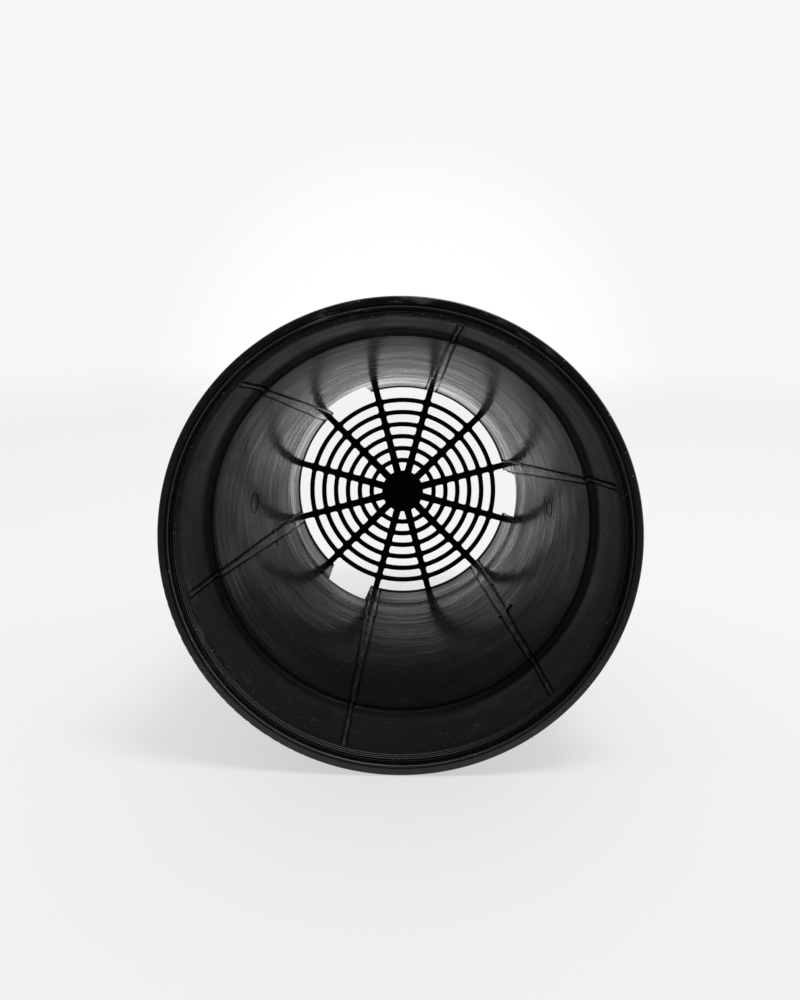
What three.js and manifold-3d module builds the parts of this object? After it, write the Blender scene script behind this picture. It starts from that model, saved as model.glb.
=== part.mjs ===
// A round plant pot, moulded in one shot of polypropylene, standing upright on its foot.
// Z is up, lengths are millimetres, and the origin is the centre of the circle that the foot stands on.
// The moulding is laid out in the zones that its mould was cut in, from the web of the base to the rim.
// Each zone is a closed solid, and it sits face to face on the zone below it at a level plane.
import * as THREE from "three";
import { mergeVertices } from "three/addons/utils/BufferGeometryUtils.js";
import Module from "manifold-3d";

const wasm = await Module();
wasm.setup();

// Overall sizes
const POT_HEIGHT = 145;
const RIM_RADIUS = 75;
const BASE_RADIUS = 51.1; // inside of the wall where it leaves the base
const WALL = 0.8;

// The rim: a flat land, a skirt that hangs outside, and the mouth with its stacking ledge inside
const RIM_WIDTH = 3.25;
const RIM_THICKNESS = 1.5;
const RIM_CORNER = 0.5;
const SKIRT_LENGTH = 9;
const SKIRT_WALL = 0.9;
const SKIRT_DRAFT = 0.4;
const MOUTH_DEPTH = 3;
const MOUTH_DRAFT = 0.1; // how much the mouth widens from its ledge to the land
const MOUTH_JOINT = 1; // wall of the mouth that is moulded with the ledge under it
const STACKING_LEDGE = 1;
const STACKING_HEIGHT = 1.3;
const STACKING_STEP = 0.45; // each of the two small steps under the ledge

// The wall: a steep upper band, a shoulder, and a tapered lower wall
const UPPER_DRAFT = 1.35; // how much the upper band widens from the shoulder to the stacking ring
const SHOULDER_HEIGHT = 111.4;
const SHOULDER_WIDTH = 1.91;
const SHOULDER_COVE = 1.2;
const SHOULDER_REACH = 3; // wall above and below the shoulder that is moulded with it
const INSERT_HEIGHT = 37; // level of the joint between the two parts of the mould's core

// Flow ribs: low strips up the inside of the wall, along which the plastic ran to the rim
const RIB_COUNT = 6;
const RIB_FIRST_BEARING = 15;
const RIB_HEIGHT = 0.4;
const UPPER_RIB_WIDTH = 2.2;
const LOWER_RIB_WIDTH = 4.4;
const BASE_RIB_WIDTH = 5.8;

// Notches: windows cut through the foot of the wall
const NOTCH_COUNT = 3;
const NOTCH_WIDTH = 19.6; // at its top
const NOTCH_HEIGHT = 16.5;
const NOTCH_DRAFT = 0.8; // how much further out each side of a notch stands at the web than at its top

// The web of the base: spokes and ring bars round a solid hub
const WEB_THICKNESS = 1.5;
const FOOT_DEPTH = 0.5; // how far the foot stands below the web
const FOOT_WIDTH = 1.2;
const FOOT_SETBACK = 0.15; // from the outside of the wall to the foot
const WEB_LEDGE = 0.4; // strip that stays between the outer openings and the wall
const SPOKE_COUNT = 12;
const SPOKE_ROOT = 3.6; // spokes flare towards the hub
const SPOKE_TIP = 2.95;
const RING_COUNT = 6;
const RING_BAR = 2.2;
const FIRST_RING_RADIUS = 16.35; // outside of the innermost ring bar
const OUTER_OPENING = 5.1;
const HUB_RADIUS = 10.1;
const OPENING_CORNER = 0.9;
const CORNER_SHARE = 0.4; // of an opening's narrowest width, the most that a corner may take

const FACETS = 72;
const CURVE_STEPS = 2;
const TRIM = 1; // extra length that a stretch of wall is made with, then cut level
const TURN = 2 * Math.PI;
const AXIS = new THREE.Vector2(0, 0);

// Levels and radii that follow from the sizes above
const webTop = FOOT_DEPTH + WEB_THICKNESS;
const notchTop = webTop + NOTCH_HEIGHT;
const shoulderBottom = SHOULDER_HEIGHT - SHOULDER_REACH;
const shoulderTop = SHOULDER_HEIGHT + SHOULDER_COVE + SHOULDER_REACH;
const ledgeLevel = POT_HEIGHT - MOUTH_DEPTH;
const stackingBottom = ledgeLevel - STACKING_HEIGHT;
const mouthRadius = RIM_RADIUS - RIM_WIDTH;
const ledgeRadius = mouthRadius - MOUTH_DRAFT - STACKING_LEDGE;
const collarBottom = ledgeLevel + MOUTH_JOINT;
const upperTopRadius = ledgeRadius - 3 * STACKING_STEP;
const upperBottomRadius = upperTopRadius - UPPER_DRAFT;
const shoulderRadius = upperBottomRadius - SHOULDER_WIDTH;
const webRadius = BASE_RADIUS - WEB_LEDGE;
const lastRingRadius = webRadius - OUTER_OPENING;
const ringPitch = (lastRingRadius - FIRST_RING_RADIUS) / (RING_COUNT - 1);

// Inside radius of the tapered wall, from the base to the shoulder, at a height.
function lowerRadius(height) {
  const share = (height - webTop) / (SHOULDER_HEIGHT - webTop);
  return BASE_RADIUS + share * (shoulderRadius - BASE_RADIUS);
}

// Inside radius of the upper band, from the shoulder to the stacking ring, at a height.
function upperRadius(height) {
  const share = (height - SHOULDER_HEIGHT) / (stackingBottom - SHOULDER_HEIGHT);
  return upperBottomRadius + share * UPPER_DRAFT;
}

// Inside radius of the mouth, from its ledge to the land, at a height.
function mouthAt(height) {
  return mouthRadius - (MOUTH_DRAFT * (POT_HEIGHT - height)) / MOUTH_DEPTH;
}

// Part of a circle in a profile, between two angles in turns, as [radius, height] points.
function arc(centreRadius, centreHeight, radius, from, to) {
  return Array.from({ length: CURVE_STEPS + 1 }, (_, i) => {
    const angle = TURN * (from + ((to - from) * i) / CURVE_STEPS);
    return [centreRadius + radius * Math.cos(angle), centreHeight + radius * Math.sin(angle)];
  });
}

const toVectors = (points) => points.map(([x, y]) => new THREE.Vector2(x, y));

// Turns a closed profile of [radius, height] points about the pot's axis.
function turned(profile) {
  const loop = toVectors([...profile, profile[0]]);
  return new THREE.LatheGeometry(loop, FACETS).rotateX(TURN / 4);
}

function solid(geometry) {
  const bare = geometry.clone();
  bare.deleteAttribute("normal");
  bare.deleteAttribute("uv");
  const merged = mergeVertices(bare, 1e-4);
  const vertProperties = merged.attributes.position.array;
  const triVerts = new Uint32Array(merged.index.array);
  return new wasm.Manifold(new wasm.Mesh({ numProp: 3, vertProperties, triVerts }));
}

function surface(body) {
  const { vertProperties, triVerts } = body.getMesh();
  const geometry = new THREE.BufferGeometry();
  geometry.setAttribute("position", new THREE.BufferAttribute(vertProperties.slice(), 3));
  geometry.setIndex(new THREE.BufferAttribute(triVerts.slice(), 1));
  geometry.computeVertexNormals();
  return geometry;
}

// Flow ribs: a section in the plane through the axis, given its width and set round the wall.
function ribs(section, width) {
  const outline = new THREE.Shape(toVectors(section));
  return Array.from({ length: RIB_COUNT }, (_, i) => {
    const bearing = TURN * (RIB_FIRST_BEARING / 360 + i / RIB_COUNT);
    const strip = new THREE.ExtrudeGeometry(outline, { depth: width, bevelEnabled: false });
    return solid(strip.translate(0, 0, -width / 2).rotateX(TURN / 4).rotateZ(bearing));
  });
}

// A stretch of wall with its ribs, trimmed level at both ends.
function ribbedWall(profile, section, ribWidth, bottom, top) {
  const slab = new THREE.BoxGeometry(4 * RIM_RADIUS, 4 * RIM_RADIUS, top - bottom);
  const ribbed = ribs(section, ribWidth).reduce((body, rib) => body.add(rib), solid(turned(profile)));
  return ribbed.intersect(solid(slab.translate(0, 0, (bottom + top) / 2)));
}

// A straight stretch of wall between two levels, with its ribs.
function wallStretch(bottom, top, radiusAt, ribWidth) {
  const below = bottom - TRIM;
  const above = top + TRIM;
  const low = radiusAt(below);
  const high = radiusAt(above);
  const profile = [[low, below], [low + WALL, below], [high + WALL, above], [high, above]];
  const section = [
    [low - RIB_HEIGHT, below],
    [low + WALL / 2, below],
    [high + WALL / 2, above],
    [high - RIB_HEIGHT, above],
  ];
  return ribbedWall(profile, section, ribWidth, bottom, top);
}

// A block that stands where one notch is cut, from under the foot to the notch's top.
// Its sides lean, so that a notch is a little wider at the web than at its top.
function notchBlock(index) {
  const inside = webRadius - OUTER_OPENING / 2;
  const outside = lowerRadius(notchTop) + 2 * WALL;
  const below = -FOOT_DEPTH;
  const halfAt = (height) => NOTCH_WIDTH / 2 + (NOTCH_DRAFT * (notchTop - height)) / NOTCH_HEIGHT;
  const section = new THREE.Shape(toVectors([
    [-halfAt(below), below],
    [halfAt(below), below],
    [halfAt(notchTop), notchTop],
    [-halfAt(notchTop), notchTop],
  ]));
  const block = new THREE.ExtrudeGeometry(section, { depth: outside - inside, bevelEnabled: false });
  block.rotateX(TURN / 4).rotateZ(TURN / 4).translate(inside, 0, 0);
  return solid(block.rotateZ((TURN * index) / NOTCH_COUNT));
}

const notches = Array.from({ length: NOTCH_COUNT }, (_, i) => notchBlock(i));

// Points along an arc about the pot's axis, about as far apart as the facets of the wall.
function arcPoints(radius, from, to) {
  const steps = Math.max(1, Math.floor((Math.abs(to - from) / TURN) * FACETS));
  return new THREE.EllipseCurve(0, 0, radius, radius, from, to, to < from).getPoints(steps);
}

// One opening of the web: two arcs, and two sides along the spokes, with rounded corners.
function opening({ innerRadius, outerRadius, spoke }, bearing) {
  const halfAngle = (radius) => TURN / (2 * SPOKE_COUNT) - Math.asin(spoke / (2 * radius));
  const narrowest = Math.min(2 * innerRadius * halfAngle(innerRadius), outerRadius - innerRadius);
  const corner = Math.min(OPENING_CORNER, CORNER_SHARE * narrowest);
  const at = (radius, angle) => new THREE.Vector2(radius, 0).rotateAround(AXIS, bearing + angle);
  const onSpoke = (radius, side) => at(radius, side * halfAngle(radius));
  const outer = halfAngle(outerRadius) - corner / outerRadius;
  const inner = halfAngle(innerRadius) - corner / innerRadius;

  // The two corners on one side of the opening, from its outer arc in to its inner arc.
  const cornersOn = (side) => {
    const turns = [
      [at(outerRadius, side * outer), onSpoke(outerRadius, side), onSpoke(outerRadius - corner, side)],
      [onSpoke(innerRadius + corner, side), onSpoke(innerRadius, side), at(innerRadius, side * inner)],
    ];
    return turns.flatMap((points) => new THREE.QuadraticBezierCurve(...points).getPoints(CURVE_STEPS));
  };
  return new THREE.Path([
    ...cornersOn(1),
    ...arcPoints(innerRadius, bearing + inner, bearing - inner).slice(1, -1),
    ...cornersOn(-1).reverse(),
    ...arcPoints(outerRadius, bearing - outer, bearing + outer).slice(1, -1),
  ]);
}

// The rows of openings from the hub outwards: one row inside each ring bar, and one outside the last.
function openingRows() {
  return Array.from({ length: RING_COUNT + 1 }, (_, row) => {
    const insideOfBar = FIRST_RING_RADIUS + (row - 1) * ringPitch;
    const isOuter = row === RING_COUNT;
    return {
      innerRadius: row === 0 ? HUB_RADIUS : insideOfBar,
      outerRadius: isOuter ? webRadius : insideOfBar + ringPitch - RING_BAR,
      spoke: SPOKE_TIP + (SPOKE_ROOT - SPOKE_TIP) * (1 - row / RING_COUNT) ** 2,
    };
  });
}

// The web of the base, with the foot under its edge.
function drainGrille() {
  const edge = BASE_RADIUS + WALL;
  const onEdge = (i) => new THREE.Vector2(edge, 0).rotateAround(AXIS, (TURN * i) / FACETS);
  const outline = new THREE.Shape(Array.from({ length: FACETS }, (_, i) => onEdge(i)));
  for (const row of openingRows()) {
    for (let i = 0; i < SPOKE_COUNT; i++) {
      outline.holes.push(opening(row, (TURN * i) / SPOKE_COUNT));
    }
  }
  const sheet = new THREE.ExtrudeGeometry(outline, { depth: WEB_THICKNESS, bevelEnabled: false });
  const web = solid(sheet.translate(0, 0, FOOT_DEPTH));
  const footOutside = edge - FOOT_SETBACK;
  const footInside = footOutside - FOOT_WIDTH;
  const footTop = FOOT_DEPTH + WEB_THICKNESS / 2;
  const footRing = [[footInside, 0], [footOutside, 0], [footOutside, footTop], [footInside, footTop]];
  const whole = web.add(solid(turned(footRing)));
  return notches.reduce((body, notch) => body.subtract(notch), whole);
}

// The wall between two notches, cut from the full ring of wall round the base.
function footArc(index) {
  const ring = notches.reduce(
    (body, notch) => body.subtract(notch),
    wallStretch(webTop, notchTop, lowerRadius, BASE_RIB_WIDTH),
  );
  const reach = 2 * BASE_RADIUS;
  const from = (TURN * index) / NOTCH_COUNT;
  const sector = new THREE.Shape();
  sector.moveTo(0, 0);
  sector.lineTo(reach * Math.cos(from), reach * Math.sin(from));
  sector.absarc(0, 0, reach, from, from + TURN / NOTCH_COUNT, false);
  const wedge = new THREE.ExtrudeGeometry(sector, { depth: POT_HEIGHT, bevelEnabled: false });
  return ring.intersect(solid(wedge));
}

// The shoulder: a level step outwards with a cove above it, and the wall just below and above.
function shoulderRing() {
  const below = shoulderBottom - TRIM;
  const above = shoulderTop + TRIM;
  const low = lowerRadius(below);
  const high = upperRadius(above);
  const coveRadius = upperBottomRadius - SHOULDER_COVE;
  const coveHeight = SHOULDER_HEIGHT + SHOULDER_COVE;
  const under = SHOULDER_HEIGHT - WALL;
  const profile = [
    [low, below],
    [low + WALL, below],
    [lowerRadius(under) + WALL, under],
    ...arc(coveRadius, coveHeight, SHOULDER_COVE + WALL, 0.75, 1),
    [high + WALL, above],
    [high, above],
    ...arc(coveRadius, coveHeight, SHOULDER_COVE, 1, 0.75),
    [shoulderRadius, SHOULDER_HEIGHT],
  ];
  const section = [
    [low - RIB_HEIGHT, below],
    [low + WALL / 2, below],
    [shoulderRadius + WALL / 2, SHOULDER_HEIGHT - WALL / 2],
    ...arc(coveRadius, coveHeight, SHOULDER_COVE + WALL / 2, 0.75, 1),
    [high + WALL / 2, above],
    [high - RIB_HEIGHT, above],
    [upperBottomRadius - RIB_HEIGHT, coveHeight],
    [coveRadius, SHOULDER_HEIGHT + RIB_HEIGHT],
    [shoulderRadius - RIB_HEIGHT, SHOULDER_HEIGHT + RIB_HEIGHT],
  ];
  return ribbedWall(profile, section, UPPER_RIB_WIDTH, shoulderBottom, shoulderTop);
}

// The stacking ring: two small steps out from the wall, the ledge that the next pot sits on,
// and the foot of the mouth's wall round it.
function stackingRing() {
  const step = STACKING_HEIGHT / 3;
  return turned([
    [upperTopRadius, stackingBottom],
    [upperTopRadius + WALL, stackingBottom],
    [mouthAt(ledgeLevel) + WALL, stackingBottom + WALL / 2],
    [mouthAt(collarBottom) + WALL, collarBottom],
    [mouthAt(collarBottom), collarBottom],
    [mouthAt(ledgeLevel), ledgeLevel],
    [ledgeRadius, ledgeLevel],
    [ledgeRadius, ledgeLevel - step],
    [ledgeRadius - STACKING_STEP, ledgeLevel - step],
    [ledgeRadius - STACKING_STEP, ledgeLevel - 2 * step],
    [ledgeRadius - 2 * STACKING_STEP, ledgeLevel - 2 * step],
    [ledgeRadius - 2 * STACKING_STEP, ledgeLevel - 2.5 * step],
  ]);
}

// The rim: the wall of the mouth, the flat land on top and the skirt outside.
function rimCollar() {
  const under = POT_HEIGHT - RIM_THICKNESS;
  const skirtBottom = POT_HEIGHT - SKIRT_LENGTH;
  const skirtFoot = RIM_RADIUS - SKIRT_DRAFT;
  const cornerHeight = POT_HEIGHT - RIM_CORNER;
  return turned([
    [mouthAt(collarBottom), collarBottom],
    [mouthAt(collarBottom) + WALL, collarBottom],
    [mouthAt(under) + WALL, under],
    [RIM_RADIUS - SKIRT_WALL, under],
    [skirtFoot - SKIRT_WALL, skirtBottom],
    [skirtFoot, skirtBottom],
    ...arc(RIM_RADIUS - RIM_CORNER, cornerHeight, RIM_CORNER, 0, 0.25),
    ...arc(mouthAt(cornerHeight) + RIM_CORNER, cornerHeight, RIM_CORNER, 0.25, 0.5),
  ]);
}

const pot = new THREE.Group();

function place(name, geometry, roughness) {
  const material = new THREE.MeshStandardMaterial({ color: 0x141414, roughness, metalness: 0 });
  const mesh = new THREE.Mesh(geometry, material);
  mesh.name = name;
  pot.add(mesh);
}

place("drain_grille", surface(drainGrille()), 0.5);
for (let i = 0; i < NOTCH_COUNT; i++) {
  place("foot_arc_" + (i + 1), surface(footArc(i)), 0.35);
}
const baseBand = wallStretch(notchTop, INSERT_HEIGHT, lowerRadius, BASE_RIB_WIDTH);
const lowerWall = wallStretch(INSERT_HEIGHT, shoulderBottom, lowerRadius, LOWER_RIB_WIDTH);
const upperWall = wallStretch(shoulderTop, stackingBottom, upperRadius, UPPER_RIB_WIDTH);
place("base_band", surface(baseBand), 0.3);
place("lower_wall", surface(lowerWall), 0.35);
place("shoulder_ring", surface(shoulderRing()), 0.4);
place("upper_wall", surface(upperWall), 0.4);
place("stacking_ring", stackingRing(), 0.4);
place("rim_collar", rimCollar(), 0.45);

export default pot;
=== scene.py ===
"""A black nursery pot, dressed for a studio photograph that looks into its mouth.

The pot stands upright on its foot, with Z up its axis, and every length is in metres.
The pot in the picture lies on its side, so the floor of the stage runs along its wall.
"""

import logging
import math
from dataclasses import dataclass
from enum import Enum
from functools import partial, reduce
from typing import Sequence

import bmesh
import bpy
from bmesh.types import BMEdge, BMesh, BMFace, BMVert
from mathutils import Matrix, Vector, noise


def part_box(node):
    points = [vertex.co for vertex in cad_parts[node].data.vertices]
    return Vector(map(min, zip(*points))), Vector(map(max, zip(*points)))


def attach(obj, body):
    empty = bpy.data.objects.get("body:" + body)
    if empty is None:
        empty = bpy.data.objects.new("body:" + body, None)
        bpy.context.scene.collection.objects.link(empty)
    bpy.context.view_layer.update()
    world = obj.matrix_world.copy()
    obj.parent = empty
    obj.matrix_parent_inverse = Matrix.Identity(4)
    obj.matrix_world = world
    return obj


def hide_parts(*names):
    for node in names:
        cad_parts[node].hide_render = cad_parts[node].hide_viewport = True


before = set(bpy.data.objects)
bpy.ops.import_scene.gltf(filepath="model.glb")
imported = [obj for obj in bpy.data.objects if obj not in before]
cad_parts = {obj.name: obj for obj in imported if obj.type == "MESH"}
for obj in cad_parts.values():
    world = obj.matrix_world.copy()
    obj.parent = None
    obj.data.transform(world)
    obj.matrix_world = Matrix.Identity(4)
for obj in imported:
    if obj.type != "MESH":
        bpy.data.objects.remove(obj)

log = logging.getLogger("pot")

MM = 0.001
TURN = math.tau
CREASE = math.radians(30)  # from this angle between its faces an edge is sharp
CORNER = math.radians(130)  # below this angle a face has a corner
SAME = 1e-6  # lengths that differ by less are the same
NEAR = 0.1 * MM  # lengths that differ by less lie beside each other
DOUBLE = 1e-7  # vertices closer than this are merged
SNAP = 3e-5  # a cut goes through the vertices that lie closer to it than this

Point = tuple[float, float]
Socket = bpy.types.NodeSocket
Value = float | Socket


class Slot(Enum):
    """The material slots that the pot's record names."""

    WALL = "wall_plastic"
    BAND = "band_plastic"
    RIM = "rim_plastic"
    WEB = "web_plastic"


class Grain(Enum):
    """How the marks of the mould's tooling run over a surface."""

    TURNED = "rings about the axis"
    SPARKED = "an even fine grain"


# Materials


class Graph:
    """A short way to write the nodes of one material or world."""

    def __init__(self, owner: bpy.types.Material | bpy.types.World) -> None:
        """Starts an empty node tree.

        Args:
            owner: the material or world that the nodes belong to.
        """
        owner.use_nodes = True
        self.tree = owner.node_tree
        self.tree.nodes.clear()

    def node(self, kind: str, inputs: dict | None = None, **settings: object) -> bpy.types.Node:
        """Adds one node.

        Args:
            kind: the node's type, without the ShaderNode in front.
            inputs: a value or a socket for each input, by name or number.
            settings: properties of the node.

        Returns:
            The new node.
        """
        made = self.tree.nodes.new("ShaderNode" + kind)
        for name, value in settings.items():
            setattr(made, name, value)
        for key, value in (inputs or {}).items():
            if isinstance(value, Socket):
                self.tree.links.new(value, made.inputs[key])
            else:
                made.inputs[key].default_value = value
        return made

    def math(self, operation: str, *values: Value) -> Socket:
        """Adds a Math node and returns its result."""
        return self.node("Math", dict(enumerate(values)), operation=operation).outputs[0]

    def times(self, *values: Value) -> Socket:
        """Multiplies all the values."""
        return reduce(partial(self.math, "MULTIPLY"), values)

    def plus(self, *values: Value) -> Socket:
        """Adds up all the values."""
        return reduce(partial(self.math, "ADD"), values)

    def minus(self, value: Value, less: Value) -> Socket:
        """Takes one value from another."""
        return self.math("SUBTRACT", value, less)

    def most(self, *values: Value) -> Socket:
        """Picks the largest of the values."""
        return reduce(partial(self.math, "MAXIMUM"), values)

    def blend(self, share: Value, first: Value, second: Value) -> Socket:
        """Mixes two numbers by a share from 0 to 1."""
        return self.node("Mix", {0: share, 2: first, 3: second}, data_type="FLOAT").outputs[0]

    def step(self, value: Socket, low: float, high: float, start: float = 0, end: float = 1) -> Socket:
        """Turns a value from low to high smoothly into one from start to end."""
        inputs = {"Value": value, "From Min": low, "From Max": high, "To Min": start, "To Max": end}
        return self.node("MapRange", inputs, interpolation_type="SMOOTHSTEP").outputs[0]

    def noise(self, vector: Socket, scale: float = 1, detail: float = 2, roughness: float = 0.5) -> Socket:
        """Adds a noise texture and returns its value, which is about 0.5 on average."""
        inputs = {"Vector": vector, "Scale": scale, "Detail": detail, "Roughness": roughness}
        return self.node("TexNoise", inputs).outputs[0]

    def attribute(self, name: str) -> Socket:
        """Reads a number that the mesh carries."""
        return self.node("Attribute", attribute_name=name).outputs["Fac"]


class Cylinder:
    """Object coordinates of a surface, read as bearing, radius and height."""

    def __init__(self, graph: Graph) -> None:
        """Adds the nodes that work the coordinates out.

        Args:
            graph: the material's nodes.
        """
        self.graph = graph
        self.place = graph.node("TexCoord").outputs["Object"]
        x, y, self.height = graph.node("SeparateXYZ", {0: self.place}).outputs
        self.bearing = graph.math("ARCTAN2", y, x)
        self.radius = graph.math("SQRT", graph.plus(graph.times(x, x), graph.times(y, y)))
        self.along = graph.plus(self.height, self.radius)

    def rings(self, across: float, around: float) -> Socket:
        """Coordinates for marks that run round the axis, in cycles per metre across and along them."""
        return self.wound(0, around, across)

    def wound(self, twist: float, around: float, across: float) -> Socket:
        """Coordinates for marks that wind up the wall like a screw thread.

        Args:
            twist: how far the pattern turns, in radians per metre of wall.
            around: cycles per metre round the axis.
            across: cycles per metre up the wall.

        Returns:
            A vector for a texture, without a seam.
        """
        graph = self.graph
        angle = graph.plus(self.bearing, graph.times(self.along, twist))
        reach = graph.times(self.radius, around)
        east = graph.times(graph.math("COSINE", angle), reach)
        north = graph.times(graph.math("SINE", angle), reach)
        return graph.node("CombineXYZ", {0: east, 1: north, 2: graph.times(self.along, across)}).outputs[0]


@dataclass(frozen=True)
class Hairline:
    """One family of fine scratches: its winding, as for Cylinder.wound, and its width in the noise."""

    twist: float
    around: float
    across: float
    width: float


HAIRLINES = (Hairline(9, 15, 330, 0.020), Hairline(-60, 160, 180, 0.012), Hairline(200, 420, 40, 0.012))


@dataclass(frozen=True)
class Plastic:
    """A black polypropylene finish, with the marks of its mould and of use.

    The mould's polish shows as a gloss over a matt body. Near the mouth, hands and soil have worn it off.
    The finish also paints shade into corners, grooves and folds, light just above the shoulder, and a
    reflection near the mouth on one side.
    """

    name: str
    slot: Slot
    grain: Grain
    shade: float
    ior: float = 1.49
    roughness: float = 0.45  # of the body
    sheen: float = 0.05  # how strongly the body mirrors
    polish: float = 1.0  # weight of the gloss at the base level
    worn: float = 0.1  # what is left of it at the mouth level
    polish_roughness: float = 0.11
    relief_depth: float = 1.5e-6
    tilt: float = 0.22  # how far the turned rings lean up and down
    scratches: float = 0.8
    scratch_lift: float = 0.035  # how much lighter a scratch is
    # scuffs, and a painted reflection near the mouth: their weight and how much lighter they make the
    # surface
    scuff_and_reflection_weight: float = 0.5
    scuff_and_reflection_lift: float = 0.10
    streaks: float = 0.8  # how much the tops of the ribs are rubbed
    dust: float = 0.6
    dust_shade: float = 0.5
    foot_level: float = 2 * MM  # painted shade: from here to the full level the surface is painted darker and less glossy, as shade in a corner
    full_level: float = 14 * MM
    foot_share: float = 0.45
    painted_light: float = 0.0  # painted light: how much lighter the surface is painted just above the foot level
    painted_light_top: float = 126 * MM  # where the painted light ends
    base_level: float = 20 * MM
    mouth_level: float = 122 * MM
    joint_level: float = 36.5 * MM  # of the dull line where the two parts of the mould's core meet
    joint_reach: tuple[float, float] = (0.5 * MM, 4 * MM)
    joint_polish: float = 0.6
    even_bearing: float = math.radians(200)  # the side on which the gloss is weak and even
    even_levels: tuple[float, float] = (16 * MM, 28 * MM)
    even_polish: float = 0.35
    painted_reflection_bearing: float = math.radians(82)  # painted reflection: the side on which light strokes are painted near the mouth
    painted_reflection_levels: tuple[float, float] = (70 * MM, 95 * MM)
    side_edge: tuple[float, float] = (0.70, 0.95)  # cosines between which such a side begins
    speck_scale: float = 620.0  # cells per metre that may hold a speck of dust
    dust_roughness: float = 0.9
    scratch_roughness: float = 0.12  # how much rougher a scratch is
    scratch_depth: float = 1.5  # in heights of the tooling's marks, as the next two
    fine_height: float = 0.35
    swell_height: float = 14.0
    band_range: tuple[float, float] = (0.3, 0.7)  # of the noise between dull and glossy bands
    band_roughness: tuple[float, float] = (-0.04, 0.05)  # what the bands add to the body's roughness
    band_gloss: tuple[float, float] = (-0.02, 0.03)  # what they add to the gloss's


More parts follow.
